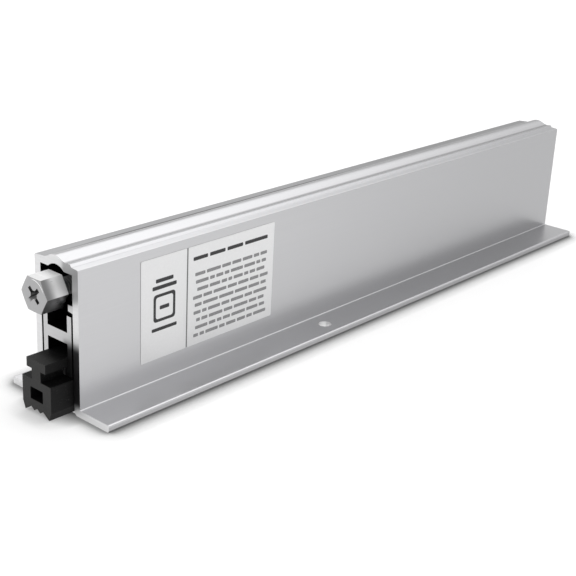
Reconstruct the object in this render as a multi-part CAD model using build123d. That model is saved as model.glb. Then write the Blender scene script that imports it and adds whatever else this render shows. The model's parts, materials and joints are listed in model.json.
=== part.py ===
from build123d import *
import math
import os

# Automatic door bottom seal, in millimetres.
# X runs along the door from the plunger end, Y from the front flange to the back one, Z up.
# The origin is on the standing face, at the middle of the overall length and width.

# Housing extrusion
housing_length = 195.0
housing_width = 14.3
wall = 1.9
shoulder_height = 33.8
ceiling_thickness = 1.5
flange_projection = 9.4
flange_thickness = 1.7
flange_tip_radius = 0.5
flange_corner_radius = 0.3
flange_root_radius = 0.25
shoulder_radius = 0.25
mouth_radius = 1.0

# Raised strip and small lip on top of the housing
strip_rise = 1.5
strip_front_half = 2.0
strip_front_drop = 0.65
strip_back_half = 2.6
strip_back_drop = 0.75
strip_back_foot = 3.7
back_foot_rise = 0.3
front_foot_rise = 0.15
groove_offset = 3.2
groove_rise = 0.55
lip_inner_offset = 4.6
lip_outer_offset = 5.1
lip_rise = 0.7

# Round channel and ribs inside the housing
channel_radius = 3.75
channel_rise = 1.05
rib_projection = 1.5
chamber_height = 7.0
rib_root_thickness = 1.7
rib_tip_thickness = 1.45

# Screw holes in the flanges
hole_diameter = 3.4
hole_from_end = 76.0
hole_from_wall = 4.9

# Label on the front wall
label_from_end = 17.2
label_length = 43.0
label_bottom = 7.1
label_from_shoulder = 2.3
label_thickness = 0.12

# Drop bar
bar_side_clearance = 0.55
bar_leg = 1.4
bar_top_clearance = 0.95
web_top = 18.7
web_thickness = 2.6
lip_top = 10.65
lip_thickness = 2.05

# Seal
seal_projection = 5.9
seal_head_clearance = 0.12
seal_head_height = 2.15
seal_neck_width = 3.0
neck_clearance = 0.2
seal_body_width = 9.7
seal_body_top = 8.25
seal_taper_top = 2.1
seal_lip_tip = 0.2
seal_lip_inset = 0.75
seal_root_offset = 1.95
seal_root = 1.6
seal_rib_offset = 1.03
seal_rib_tip = 0.87
seal_hollow_width = 4.25
seal_hollow_bottom = 3.45
seal_hollow_height = 2.85

# Motion
plunger_travel = 5.5
drop_travel = 6.5

# Plunger
plunger_above_ribs = 2.55
plunger_projection = 5.85
hex_across_flats = 7.54
hex_length = 5.7
hex_face_inset = 0.3
hex_corner_cut = 0.15
shank_diameter = 4.0
shank_end_clearance = 0.6
thread_clearance = 0.05
recess_span = 4.3
recess_arm = 0.95
recess_depth = 2.3
recess_floor_radius = 0.75

# Adjuster block
block_from_head = 7.5
block_length = 18.0
slide_clearance = 0.15
bar_socket_length = 6.5
block_rivet_diameter = 1.6
block_rivet_spacing = 3.4

# Slide bar
slide_thickness = 2.4
slide_above_ribs = 0.5
slide_height = 5.7
tail_height = 3.0
tail_end_margin = 9.0
front_pin_from_end = 60.0
rear_pin_from_far_end = 73.0
slot_clearance = 0.05
slot_end_clearance = 0.15
lobe_side_wall = 2.4
lobe_corner_radius = 1.5

# Lift brackets, pins, clips and rivets
bracket_sheet = 1.0
bracket_clearance = 0.3
bracket_half_length = 14.0
ear_foot_half = 5.0
ear_eye_radius = 2.1
pin_diameter = 2.2
pin_above_slide_bottom = 3.2
pin_head_diameter = 3.4
pin_head_height = 0.55
clip_diameter = 3.8
clip_thickness = 0.4
rivet_diameter = 2.0
rivet_head_diameter = 3.6
rivet_head_height = 0.6
rivet_inset = 2.5

# Guide blocks and their set screws
front_guide_from_end = 34.0
front_guide_length = 10.0
rear_guide_from_far_end = 27.0
rear_guide_length = 12.0
guide_clearance = 0.12
keel_clearance = 0.15
keel_depth = 2.1
screw_diameter = 2.0
screw_length = 6.0
screw_offset = 2.8
screw_socket = 1.0
screw_socket_depth = 1.5
screw_spacing = 5.0

# Return spring, washer and stop pin
spring_length = 22.0
spring_wire = 0.8
spring_mean_radius = 2.5
spring_turns = 9
washer_thickness = 0.6
washer_diameter = 6.2
washer_hole = 4.0
stop_pin_diameter = 1.6
stop_pin_length = 6.0
stop_clearance = 0.1

# Places worked out from the sizes above
overall_length = housing_length + seal_projection
near_end = seal_projection - overall_length / 2
half_width = housing_width / 2
inner_half = half_width - wall
flange_reach = half_width + flange_projection
ceiling = shoulder_height - ceiling_thickness
rib_top = ceiling - chamber_height
rib_tip = inner_half - rib_projection
bar_half = inner_half - bar_side_clearance
bar_inner_half = bar_half - bar_leg
bar_top = rib_top - rib_root_thickness - bar_top_clearance
label_height = shoulder_height - label_from_shoulder - label_bottom
plunger_height = rib_top + plunger_above_ribs
slide_bottom = rib_top + slide_above_ribs
rear_pin_from_end = housing_length - rear_pin_from_far_end
rear_guide_from_end = housing_length - rear_guide_from_far_end
block_start = near_end - plunger_projection + hex_length + block_from_head
thread_length = block_length - bar_socket_length
slide_start = block_start + thread_length
shank_length = block_from_head + thread_length - shank_end_clearance
slide_top = slide_bottom + slide_height
slide_middle = slide_bottom + slide_height / 2
rear_guide_start = near_end + rear_guide_from_end
shoulder_x = rear_guide_start - spring_length - washer_thickness
stop_x = rear_guide_start + rear_guide_length + stop_clearance + stop_pin_diameter / 2
tail_end = near_end + housing_length - tail_end_margin
pin_height = slide_bottom + pin_above_slide_bottom
ear_inner = slide_thickness / 2 + bracket_clearance
ear_outer = ear_inner + bracket_sheet


def in_section(points):
    """Points of a cross-section, given as Y and Z, as points in space."""
    return [(0, y, z) for y, z in points]


def extruded(outline, start, length):
    """A solid with a closed cross-section outline, run along X."""
    return Pos(start, 0, 0) * extrude(make_face(outline), amount=length, dir=(1, 0, 0))


def box_between(low, high):
    """A box given by its two opposite corners."""
    sizes = [b - a for a, b in zip(low, high)]
    return Pos(*low) * Box(*sizes, align=(Align.MIN, Align.MIN, Align.MIN))


def rod(start, direction, diameter, length):
    """A round rod from a point, along a direction."""
    plane = Plane(origin=start, z_dir=direction)
    return plane * Cylinder(diameter / 2, length, align=(Align.CENTER, Align.CENTER, Align.MIN))


def along_x_at(solid, distance_from_middle, height):
    """The straight edges along X at one distance from the middle plane and one height."""
    near = 0.01
    return [
        edge
        for edge in solid.edges().filter_by(Axis.X)
        if abs(abs(edge.center().Y) - distance_from_middle) < near
        and abs(edge.center().Z - height) < near
    ]


def housing_outline():
    """Outside of the housing: flanges, walls, shoulders, lip, groove and raised strip."""
    strip_top = shoulder_height + strip_rise
    strip_front = (-strip_front_half, strip_top - strip_front_drop)
    strip_back = (strip_back_half, strip_top - strip_back_drop)
    front = [
        (0, 0),
        (-flange_reach, 0),
        (-flange_reach, flange_thickness),
        (-half_width, flange_thickness),
        (-half_width, shoulder_height),
        (-lip_outer_offset, shoulder_height + front_foot_rise),
        (-lip_inner_offset, shoulder_height + lip_rise),
        (-groove_offset, shoulder_height + groove_rise),
        strip_front,
    ]
    back = [
        strip_back,
        (strip_back_foot, shoulder_height + back_foot_rise),
        (half_width, shoulder_height),
        (half_width, flange_thickness),
        (flange_reach, flange_thickness),
        (flange_reach, 0),
        (0, 0),
    ]
    strip = ThreePointArc(*in_section([strip_front, (0, strip_top), strip_back]))
    return Polyline(*in_section(front)) + strip + Polyline(*in_section(back))


def chamber_outline():
    """Inside of the housing: open mouth, two ribs, flat ceiling and round channel."""
    channel_centre = ceiling + channel_rise - channel_radius
    channel_half = math.sqrt(channel_radius**2 - (ceiling - channel_centre) ** 2)
    below = -flange_thickness
    side = [
        (inner_half, below),
        (inner_half, rib_top - rib_root_thickness),
        (rib_tip, rib_top - rib_tip_thickness),
        (rib_tip, rib_top),
        (inner_half, rib_top),
        (inner_half, ceiling),
        (channel_half, ceiling),
    ]
    mirrored = [(-y, z) for y, z in reversed(side)]
    channel = ThreePointArc(*in_section([side[-1], (0, ceiling + channel_rise), mirrored[0]]))
    mouth = Line(*in_section([mirrored[-1], side[0]]))
    return Polyline(*in_section(side)) + channel + Polyline(*in_section(mirrored)) + mouth


def housing_plan():
    """Plan of the housing with its rounded flange corners, run up past its top."""
    plan = RectangleRounded(housing_length, 2 * flange_reach, flange_corner_radius)
    middle = near_end + housing_length / 2
    return Pos(middle, 0, 0) * extrude(plan, shoulder_height + 2 * strip_rise)


def flange_hole_places():
    """The front flange's hole, and the back one at the same distance from the other end."""
    offset = half_width + hole_from_wall
    front = (near_end + hole_from_end, -offset)
    back = (near_end + housing_length - hole_from_end, offset)
    return [front, back]


def housing():
    solid = extruded(housing_outline(), near_end, housing_length)
    solid -= extruded(chamber_outline(), near_end, housing_length)
    solid = fillet(along_x_at(solid, half_width, flange_thickness), flange_root_radius)
    solid = fillet(along_x_at(solid, half_width, shoulder_height), shoulder_radius)
    solid = fillet(along_x_at(solid, flange_reach, flange_thickness), flange_tip_radius)
    solid = fillet(along_x_at(solid, flange_reach, 0), flange_tip_radius)
    solid = fillet(along_x_at(solid, inner_half, 0), mouth_radius)
    solid &= housing_plan()
    for x, y in flange_hole_places():
        solid -= rod((x, y, 0), (0, 0, 1), hole_diameter, flange_thickness)
    return solid


def label():
    start = near_end + label_from_end
    return box_between(
        (start, -half_width - label_thickness, label_bottom),
        (start + label_length, -half_width, label_bottom + label_height),
    )


def drop_bar():
    """H section: upper channel for the brackets, lower one with lips for the seal's head."""
    web_bottom = web_top - web_thickness
    lip_bottom = lip_top - lip_thickness
    lip_half_gap = seal_neck_width / 2 + neck_clearance
    outline = Polyline(
        *in_section(
            [
                (-bar_half, lip_bottom),
                (-bar_half, bar_top),
                (-bar_inner_half, bar_top),
                (-bar_inner_half, web_top),
                (bar_inner_half, web_top),
                (bar_inner_half, bar_top),
                (bar_half, bar_top),
                (bar_half, lip_bottom),
                (lip_half_gap, lip_bottom),
                (lip_half_gap, lip_top),
                (bar_inner_half, lip_top),
                (bar_inner_half, web_bottom),
                (-bar_inner_half, web_bottom),
                (-bar_inner_half, lip_top),
                (-lip_half_gap, lip_top),
                (-lip_half_gap, lip_bottom),
            ]
        ),
        close=True,
    )
    solid = extruded(outline, near_end, housing_length)
    for x in bracket_rivet_places(front_pin_from_end) + bracket_rivet_places(rear_pin_from_end):
        solid -= rod((x, 0, web_bottom), (0, 0, 1), rivet_diameter, web_thickness)
    return solid


def seal():
    """T head, neck and hollow body with two outer lips and two small ribs below."""
    head_half = bar_inner_half - seal_head_clearance
    head_bottom = lip_top + seal_head_clearance
    neck_half = seal_neck_width / 2
    body_half = seal_body_width / 2
    right = [
        (0, seal_root),
        (seal_rib_offset, seal_rib_tip),
        (seal_root_offset, seal_root),
        (body_half - seal_lip_inset, seal_lip_tip),
        (body_half, seal_taper_top),
        (body_half, seal_body_top),
        (neck_half, seal_body_top),
        (neck_half, head_bottom),
        (head_half, head_bottom),
        (head_half, head_bottom + seal_head_height),
    ]
    left = [(-y, z) for y, z in reversed(right[1:])]
    start = near_end - seal_projection
    solid = extruded(Polyline(*in_section(right + left), close=True), start, overall_length)
    hollow = box_between(
        (start, -seal_hollow_width / 2, seal_hollow_bottom),
        (start + overall_length, seal_hollow_width / 2, seal_hollow_bottom + seal_hollow_height),
    )
    return solid - hollow


def cross_recess(face_x):
    """Two crossed diagonal arms that narrow towards the floor of the recess."""
    face = Plane(origin=(face_x, 0, plunger_height), x_dir=(0, 1, 0), z_dir=(1, 0, 0))
    arm = Box(recess_span, recess_arm, recess_depth, align=(Align.CENTER, Align.CENTER, Align.MIN))
    arms = Rot(0, 0, 45) * arm + Rot(0, 0, -45) * arm
    taper = Cone(
        recess_span / 2,
        recess_floor_radius,
        recess_depth,
        align=(Align.CENTER, Align.CENTER, Align.MIN),
    )
    return face * (arms & taper)


def plunger():
    """Hexagonal head with a shallow round chamfer and a cross recess, and threaded shank."""
    face_x = near_end - plunger_projection
    corner_radius = hex_across_flats / math.sqrt(3)
    section = Plane(origin=(face_x, 0, plunger_height), x_dir=(0, 1, 0), z_dir=(1, 0, 0))
    hexagon = section * extrude(RegularPolygon(corner_radius, 6), amount=hex_length)
    face_radius = hex_across_flats / 2 - hex_face_inset
    cone_slope = (corner_radius - face_radius) / hex_corner_cut
    cone_radius = face_radius + cone_slope * hex_length
    chamfer_cone = section * Cone(
        face_radius, cone_radius, hex_length, align=(Align.CENTER, Align.CENTER, Align.MIN)
    )
    head = (hexagon & chamfer_cone) - cross_recess(face_x)
    shank_start = (face_x + hex_length, 0, plunger_height)
    return head + rod(shank_start, (1, 0, 0), shank_diameter, shank_length)


def block_rivet_places():
    middle = slide_start + bar_socket_length / 2
    return [middle - block_rivet_spacing / 2, middle + block_rivet_spacing / 2]


def adjuster_block():
    """Slider on the ribs, tapped for the plunger and slotted for the slide bar."""
    side = inner_half - slide_clearance
    block_end = block_start + block_length
    solid = box_between(
        (block_start, -side, rib_top + slide_clearance),
        (block_end, side, ceiling - slide_clearance),
    )
    thread = shank_diameter + 2 * thread_clearance
    solid -= rod((block_start, 0, plunger_height), (1, 0, 0), thread, thread_length)
    solid -= box_between(
        (slide_start, -slide_thickness / 2, slide_bottom),
        (block_end, slide_thickness / 2, slide_top),
    )
    for x in block_rivet_places():
        solid -= rod((x, -side, slide_middle), (0, 1, 0), block_rivet_diameter, 2 * side)
    return solid


def adjuster_rivets():
    side = inner_half - slide_clearance
    return [
        rod((x, -side, slide_middle), (0, 1, 0), block_rivet_diameter, 2 * side)
        for x in block_rivet_places()
    ]


def slot_between(start, end, radius):
    """A flat slot with round ends between two centres."""
    middle = (start + end) * 0.5
    run = end - start
    turn = math.degrees(math.atan2(run.Y, run.X))
    return Pos(middle.X, middle.Y) * Rot(0, 0, turn) * SlotCenterToCenter(run.length, 2 * radius)


def cam_shape(pin_x, grow):
    """The path of one lift pin in the bar's own plane, widened by a radius, as a flat face."""
    end_share = slot_end_clearance / math.hypot(plunger_travel, drop_travel)
    extra = Vector(plunger_travel, drop_travel) * end_share
    top = Vector(pin_x, pin_height) + extra
    bottom = Vector(pin_x - plunger_travel, pin_height - drop_travel) - extra
    plane = Plane(origin=(0, -slide_thickness / 2, 0), x_dir=(1, 0, 0), z_dir=(0, -1, 0))
    return plane * slot_between(top, bottom, grow)


def slide_bar():
    """Flat bar with a square tail, and a lobe with a sloping cam slot for each lift pin."""
    half = slide_thickness / 2
    solid = box_between((slide_start, -half, slide_bottom), (shoulder_x, half, slide_top))
    solid += box_between(
        (shoulder_x, -half, slide_middle - tail_height / 2),
        (tail_end, half, slide_middle + tail_height / 2),
    )
    slot_radius = pin_diameter / 2 + slot_clearance
    lobe_bottom = web_top + bracket_sheet + bracket_clearance
    for from_end in (front_pin_from_end, rear_pin_from_end):
        pin_x = near_end + from_end
        lobe = box_between(
            (pin_x - plunger_travel - slot_radius - lobe_side_wall, -half, lobe_bottom),
            (pin_x + slot_radius, half, slide_bottom),
        )
        solid += fillet(
            lobe.edges().filter_by(Axis.Y).group_by(Axis.Z)[0],
            lobe_corner_radius,
        )
        solid -= extrude(cam_shape(pin_x, slot_radius), amount=slide_thickness, dir=(0, 1, 0))
    for x in block_rivet_places():
        solid -= rod((x, -half, slide_middle), (0, 1, 0), block_rivet_diameter, slide_thickness)
    solid -= rod((stop_x, -half, slide_middle), (0, 1, 0), stop_pin_diameter, slide_thickness)
    return solid


def bracket_rivet_places(pin_from_end):
    reach = bracket_half_length - rivet_inset
    pin_x = near_end + pin_from_end
    return [pin_x - reach, pin_x + reach]


def lift_bracket(pin_from_end):
    """U bracket: a base on the drop bar's web and two ears that hold the lift pin."""
    pin_x = near_end + pin_from_end
    base_top = web_top + bracket_sheet
    solid = box_between(
        (pin_x - bracket_half_length, -ear_outer, web_top),
        (pin_x + bracket_half_length, ear_outer, base_top),
    )
    for x in bracket_rivet_places(pin_from_end):
        solid -= rod((x, 0, web_top), (0, 0, 1), rivet_diameter, bracket_sheet)
    eye = Pos(pin_x, pin_height) * Circle(ear_eye_radius)
    foot = Polyline(
        (pin_x - ear_foot_half, base_top),
        (pin_x + ear_foot_half, base_top),
        (pin_x + ear_eye_radius, pin_height),
        (pin_x - ear_eye_radius, pin_height),
        close=True,
    )
    ear_face = make_face(foot) + eye - Pos(pin_x, pin_height) * Circle(pin_diameter / 2)
    for inner_y in (-ear_outer, ear_inner):
        plane = Plane(origin=(0, inner_y, 0), x_dir=(1, 0, 0), z_dir=(0, -1, 0))
        solid += extrude(plane * ear_face, amount=bracket_sheet, dir=(0, 1, 0))
    return solid


def bracket_rivets(pin_from_end):
    """Two rivets through the web, headed on the bracket and under the web."""
    rivets = []
    web_bottom = web_top - web_thickness
    base_top = web_top + bracket_sheet
    for x in bracket_rivet_places(pin_from_end):
        shank = rod((x, 0, web_bottom), (0, 0, 1), rivet_diameter, base_top - web_bottom)
        upper = rod((x, 0, base_top), (0, 0, 1), rivet_head_diameter, rivet_head_height)
        lower = rod((x, 0, web_bottom), (0, 0, -1), rivet_head_diameter, rivet_head_height)
        rivets.append(shank + upper + lower)
    return rivets


def lift_pin(pin_from_end):
    """Headed pin across the two ears, with an end that stands out for the clip."""
    pin_x = near_end + pin_from_end
    shank_reach = ear_outer + pin_head_height
    head = rod((pin_x, -ear_outer, pin_height), (0, -1, 0), pin_head_diameter, pin_head_height)
    shank = rod((pin_x, -ear_outer, pin_height), (0, 1, 0), pin_diameter, ear_outer + shank_reach)
    return head + shank


def pin_clip(pin_from_end):
    """Retaining ring against the back ear, with a gap in its rim."""
    pin_x = near_end + pin_from_end
    ring = rod((pin_x, ear_outer, pin_height), (0, 1, 0), clip_diameter, clip_thickness)
    ring -= rod((pin_x, ear_outer, pin_height), (0, 1, 0), pin_diameter, clip_thickness)
    gap = box_between(
        (pin_x - pin_diameter / 4, ear_outer, pin_height - clip_diameter),
        (pin_x + pin_diameter / 4, ear_outer + clip_thickness, pin_height),
    )
    return ring - gap


def guide_screw_places(start, length):
    middle = start + length / 2
    return [
        (middle - screw_spacing / 2, -screw_offset),
        (middle + screw_spacing / 2, screw_offset),
    ]


def guide_block(from_end, length, passage_bottom, passage_top):
    """Block that fills the upper chamber, keyed between the ribs, with a passage for the bar."""
    start = near_end + from_end
    keel_half = rib_tip - keel_clearance
    keel_bottom = rib_top - keel_depth
    solid = box_between((start, -inner_half, rib_top), (start + length, inner_half, ceiling))
    solid += box_between((start, -keel_half, keel_bottom), (start + length, keel_half, rib_top))
    half = slide_thickness / 2 + guide_clearance
    solid -= box_between(
        (start, -half, passage_bottom - guide_clearance),
        (start + length, half, passage_top + guide_clearance),
    )
    for x, y in guide_screw_places(start, length):
        solid -= rod((x, y, keel_bottom), (0, 0, 1), screw_diameter, ceiling - keel_bottom)
    return solid


def guide_block_front():
    return guide_block(front_guide_from_end, front_guide_length, slide_bottom, slide_top)


def guide_block_rear():
    tail_half = tail_height / 2
    return guide_block(
        rear_guide_from_end,
        rear_guide_length,
        slide_middle - tail_half,
        slide_middle + tail_half,
    )


def guide_screws(from_end, length):
    """Set screws that bear on the ceiling, with a hexagonal socket in the lower end."""
    screws = []
    bottom = ceiling - screw_length
    for x, y in guide_screw_places(near_end + from_end, length):
        body = rod((x, y, bottom), (0, 0, 1), screw_diameter, screw_length)
        socket = Pos(x, y, bottom) * extrude(
            RegularPolygon(screw_socket / 2, 6), amount=screw_socket_depth
        )
        screws.append(body - socket)
    return screws


def return_spring():
    """Coil round the tail, between the washer and the rear guide block."""
    start = shoulder_x + washer_thickness + spring_wire / 2
    height = spring_length - spring_wire
    plane = Plane(origin=(start, 0, slide_middle), x_dir=(0, 1, 0), z_dir=(1, 0, 0))
    path = plane * Helix(height / spring_turns, height, spring_mean_radius)
    wire = Plane(origin=path @ 0, z_dir=path % 0) * Circle(spring_wire / 2)
    return sweep(wire, path=path)


def spring_washer():
    ring = rod((shoulder_x, 0, slide_middle), (1, 0, 0), washer_diameter, washer_thickness)
    return ring - rod((shoulder_x, 0, slide_middle), (1, 0, 0), washer_hole, washer_thickness)


def stop_pin():
    """Cross pin that meets the rear guide block when the plunger is out."""
    start = (stop_x, -stop_pin_length / 2, slide_middle)
    return rod(start, (0, 1, 0), stop_pin_diameter, stop_pin_length)


nodes = {
    "housing": housing(),
    "label": label(),
    "drop_bar": drop_bar(),
    "seal": seal(),
    "plunger": plunger(),
    "adjuster_block": adjuster_block(),
    "adjuster_rivets": adjuster_rivets(),
    "slide_bar": slide_bar(),
    "lift_bracket_front": lift_bracket(front_pin_from_end),
    "lift_bracket_rear": lift_bracket(rear_pin_from_end),
    "bracket_rivets_front": bracket_rivets(front_pin_from_end),
    "bracket_rivets_rear": bracket_rivets(rear_pin_from_end),
    "lift_pin_front": lift_pin(front_pin_from_end),
    "lift_pin_rear": lift_pin(rear_pin_from_end),
    "pin_clip_front": pin_clip(front_pin_from_end),
    "pin_clip_rear": pin_clip(rear_pin_from_end),
    "guide_block_front": guide_block_front(),
    "guide_block_rear": guide_block_rear(),
    "guide_screws_front": guide_screws(front_guide_from_end, front_guide_length),
    "guide_screws_rear": guide_screws(rear_guide_from_end, rear_guide_length),
    "return_spring": return_spring(),
    "spring_washer": spring_washer(),
    "stop_pin": stop_pin(),
}

os.makedirs("parts", exist_ok=True)
for name, shape in nodes.items():
    solid = Compound(children=shape) if isinstance(shape, list) else shape
    export_step(solid, f"parts/{name}.step")
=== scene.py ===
import json
import math
import random

import bmesh
import bpy
from bpy.props import FloatProperty, FloatVectorProperty, IntProperty, PointerProperty
from mathutils import Matrix, Vector


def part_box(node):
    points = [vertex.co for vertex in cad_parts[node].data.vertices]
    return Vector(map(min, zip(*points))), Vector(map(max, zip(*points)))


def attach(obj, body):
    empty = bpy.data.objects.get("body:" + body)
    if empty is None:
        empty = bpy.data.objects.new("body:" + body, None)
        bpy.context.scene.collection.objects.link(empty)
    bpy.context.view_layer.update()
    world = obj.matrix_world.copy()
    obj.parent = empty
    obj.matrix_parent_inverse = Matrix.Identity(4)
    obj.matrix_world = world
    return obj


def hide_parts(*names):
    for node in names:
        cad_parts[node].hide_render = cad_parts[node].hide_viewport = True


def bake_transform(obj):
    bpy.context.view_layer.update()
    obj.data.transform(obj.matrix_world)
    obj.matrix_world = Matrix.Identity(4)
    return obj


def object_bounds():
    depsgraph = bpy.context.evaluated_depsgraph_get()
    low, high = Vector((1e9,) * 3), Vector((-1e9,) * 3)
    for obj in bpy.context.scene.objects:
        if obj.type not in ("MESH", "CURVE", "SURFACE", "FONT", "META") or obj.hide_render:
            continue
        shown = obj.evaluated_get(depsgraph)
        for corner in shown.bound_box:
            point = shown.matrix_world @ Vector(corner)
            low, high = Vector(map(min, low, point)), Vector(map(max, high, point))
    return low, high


bl_info = {
    "name": "Automatic door bottom seal",
    "version": (1, 0, 0),
    "blender": (4, 5, 0),
    "location": "3D View > Sidebar > Door seal",
    "description": "Dresses the mortised door bottom seal and sets up its studio",
    "category": "Object",
}

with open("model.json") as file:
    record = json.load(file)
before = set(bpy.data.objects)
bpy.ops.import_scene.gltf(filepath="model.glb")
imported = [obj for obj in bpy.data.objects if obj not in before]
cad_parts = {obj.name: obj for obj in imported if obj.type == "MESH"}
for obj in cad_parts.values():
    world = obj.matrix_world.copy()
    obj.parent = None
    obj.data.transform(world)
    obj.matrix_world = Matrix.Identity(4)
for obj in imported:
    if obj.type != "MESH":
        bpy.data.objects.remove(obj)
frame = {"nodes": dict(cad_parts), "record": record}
CAD_LOW, CAD_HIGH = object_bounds()

# Soft edges over a surface's normal. In every pair of bounds here, a mask starts at the first
# and has its full change at the second. Places and sizes are in metres.
END_FACE = (0.8, 0.95)
HEAD_FACE = (0.85, 0.97)
TOP_FACE = (0.5, 0.9)
TOP_FLAT = (0.8, 0.95)
UPPER_FLATS = (0.2, 0.4)
LOWER_FLATS = (-0.4, -0.2)
FRONT_FLATS = (-0.8, -0.5)

# Finish of the housing and the drop bar
# Painted shade inside the housing
INSIDE_HALF_WIDTH = 0.0054
INSIDE_TOP = 0.0336
SHOULDER_HEIGHT = 0.0338
CUT_FRONT = (-0.0028, -0.0014)
# Painted shade low on the front of the near cut end, beside the rubber
LOWER_END_SHADE_FRONT = -0.0074
LOWER_END_SHADE_FOOT = (0.0014, 0.0032)
LOWER_END_SHADE_TOP = (0.0148, 0.0178)
# Painted shade high on the front of the near cut end
UPPER_END_SHADE_FOOT = (0.0258, 0.0275)
UPPER_END_SHADE_FADE = (0.0265, 0.0335)
INNER_CUT_HALF_WIDTH = 0.0053
INNER_CUT_TOP = (0.0262, 0.0268)
# Painted shade in the creases and on the back of the top, and at the flange's tip
GROOVE_MIDDLE = -0.0032
GROOVE_EDGE = (0.0002, 0.0006)
STRIP_FOOT_MIDDLE = 0.0037
STRIP_FOOT_EDGE = (0.0005, 0.0009)
STRIP_FOOT_START = (-0.0950, -0.0700)
STRIP_FOOT_END = (-0.0150, 0.0250)
BACK_SHOULDER_EDGE = (0.0040, 0.0050)
BACK_SHOULDER_START = (-0.0900, -0.0600)
STRIP_BACK_EDGE = (-0.0004, 0.0014)
STRIP_BACK_START = (-0.0200, 0.0500)
TIP_FOOT_REACH = 0.0160
TIP_FOOT_TOP = (0.0003, 0.0005)
TIP_FACE_REACH = 0.01645
TIP_FACE_TOP = (0.0011, 0.0013)
DRILLED_RADIUS = 0.0019

# Finish of the seal
# Painted shade in the seal's hollow, at its neck and on its top inside the housing
HOLLOW_HALF_WIDTH = 0.0022
HOLLOW_MIDDLE = 0.0049
HOLLOW_HALF_HEIGHT = 0.0015
NECK_MIDDLE = 0.0094
NECK_HALF_HEIGHT = 0.0013
COVERED_START = (-0.0990, -0.0960)

# Finish of the plunger: radii on the head's face, and depths behind it
RING_SPACING = 0.00012
# Painted shade in the recess and on the thread
SHADED_SHARE = 0.56
SHADED_DEPTH = (0.00008, 0.0005)
# Painted highlight on the face's rim: its radii, and the lit side
RIM_INNER = (0.00336, 0.00342)
RIM_OUTER = (0.00348, 0.00354)
RIM_UP, RIM_FRONT = 0.9, 0.5
RIM_LIT = (0.75, 0.95)
# Painted light on the upper flats, and painted shade on the front flats
PAINTED_LIGHT_START = (0.0014, 0.0036)
PAINTED_LIGHT_END = (0.0058, 0.0059)
FRONT_SHADE_END = (0.0006, 0.0030)

# Grain of the hardware's finishes
SHEET_GRAIN = 0.00015
WIRE_GRAIN = 0.0001
NYLON_GRAIN = 0.0002

# Label: the shares are of a thickness, and bars have a shortest, a longest and a space
INK_RISE = 0.00002
INK_SINK = 0.000005
FOIL_RIM = 0.00005
RIM_SHARE = 0.4
BACKING_SHARE = 0.4
BACKING_INSET = 0.0001
LINE_BARS = (0.0012, 0.0048, 0.0005)
LINE_RAGGED = 0.0014
LINE_SEED = 11
HEADING_BARS = (0.0022, 0.0060, 0.0007)
HEADING_SHORTER = 0.0006
HEADING_TO_LINE = 1.1
HEADING_SEED = 5

# Plunger: the wings have a share of the depth and of the span, the cone a share and a radius
HEAD_COLUMNS = 96
RECESS_LIFT = 0.0003
RECESS_MOUTH_SLOPE = 0.5
RECESS_WINGS = ((0.55, 0.72), (1.0, 0.42))
RECESS_ARM_LEAST = 0.55
RECESS_CONE = ((0.6, 0.0007), (0.85, 0.0004))
RECESS_CONE_MOUTH = 0.0011
RECESS_CONE_COLUMNS = 24
EDGE_WIDTH = 0.00006
EDGE_ANGLE = math.radians(25)
SHANK_OVERLAP = 0.0001
SHANK_SHARP_ANGLE = 50
SHANK_COLUMNS = 40
THREAD_ROWS_A_TURN = 8
THREAD_START = 0.0006
THREAD_RUN_OUT = 0.0008
THREAD_BLANK = 0.7
THREAD_CREST, THREAD_FLANK = 1.6, 3.2
TIP_LENGTH = 0.0006
TIP_SHARE = 0.78

# Spring
COIL_STEPS_A_TURN = 36
COIL_COLUMNS = 12
COIL_CLOSED = 1.02

# Sky: bounds along an axis of the view's direction
ROOM_EDGE = (0.15, 0.45)
SCREEN_EDGE = (0.45, 0.51)
SCREEN_BACK = (-0.2, 0.4)
SCREEN_FAR = (0.6, 0.9)
SCREEN_FADE = (0.6, 1.0)
LOW_FAR = (0.72, 0.88)
FRONT_EDGE = (-0.4, -0.1)
FRONT_NEAR = (0.60, 0.68)
FRONT_FAR = (0.74, 0.84)

# Floor, lamp and camera: angles in degrees, lens and sensor in millimetres
LIT_RAYS = ("Is Camera Ray", "Is Glossy Ray", "Is Transmission Ray")
UNDER_HALF_WIDTH = 0.0160
UNDER_HALF_LENGTH = 0.0940
RAISED_END = (-0.1010, -0.0930)
OPENNESS_SAMPLES = 16
FLOOR_CUTS = 8
KEY_PLACE = Vector((-0.5, -0.75, 0.85))
KEY_AIM = Vector((0, 0, 0.015))
KEY_WIDTH, KEY_HEIGHT = 0.9, 0.6
CAMERA_PLACE = (-0.24004, -0.18838, 0.12171)
CAMERA_AZIMUTH, CAMERA_ELEVATION, CAMERA_ROLL = -49.466, 21.355, 2.919
CAMERA_LENS = 74.71
CAMERA_SENSOR = 36
CAMERA_CLIP = 0.01


# Settings that a user would change


def length(name, description, default):
    return FloatProperty(
        name=name, description=description, default=default, min=0, unit="LENGTH", subtype="DISTANCE"
    )


def share(name, description, default, top=1.0):
    return FloatProperty(
        name=name, description=description, default=default, min=0, max=top, subtype="FACTOR"
    )


def colour(name, description, default):
    return FloatVectorProperty(
        name=name, description=description, default=default, min=0, max=1, size=3, subtype="COLOR"
    )


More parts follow.
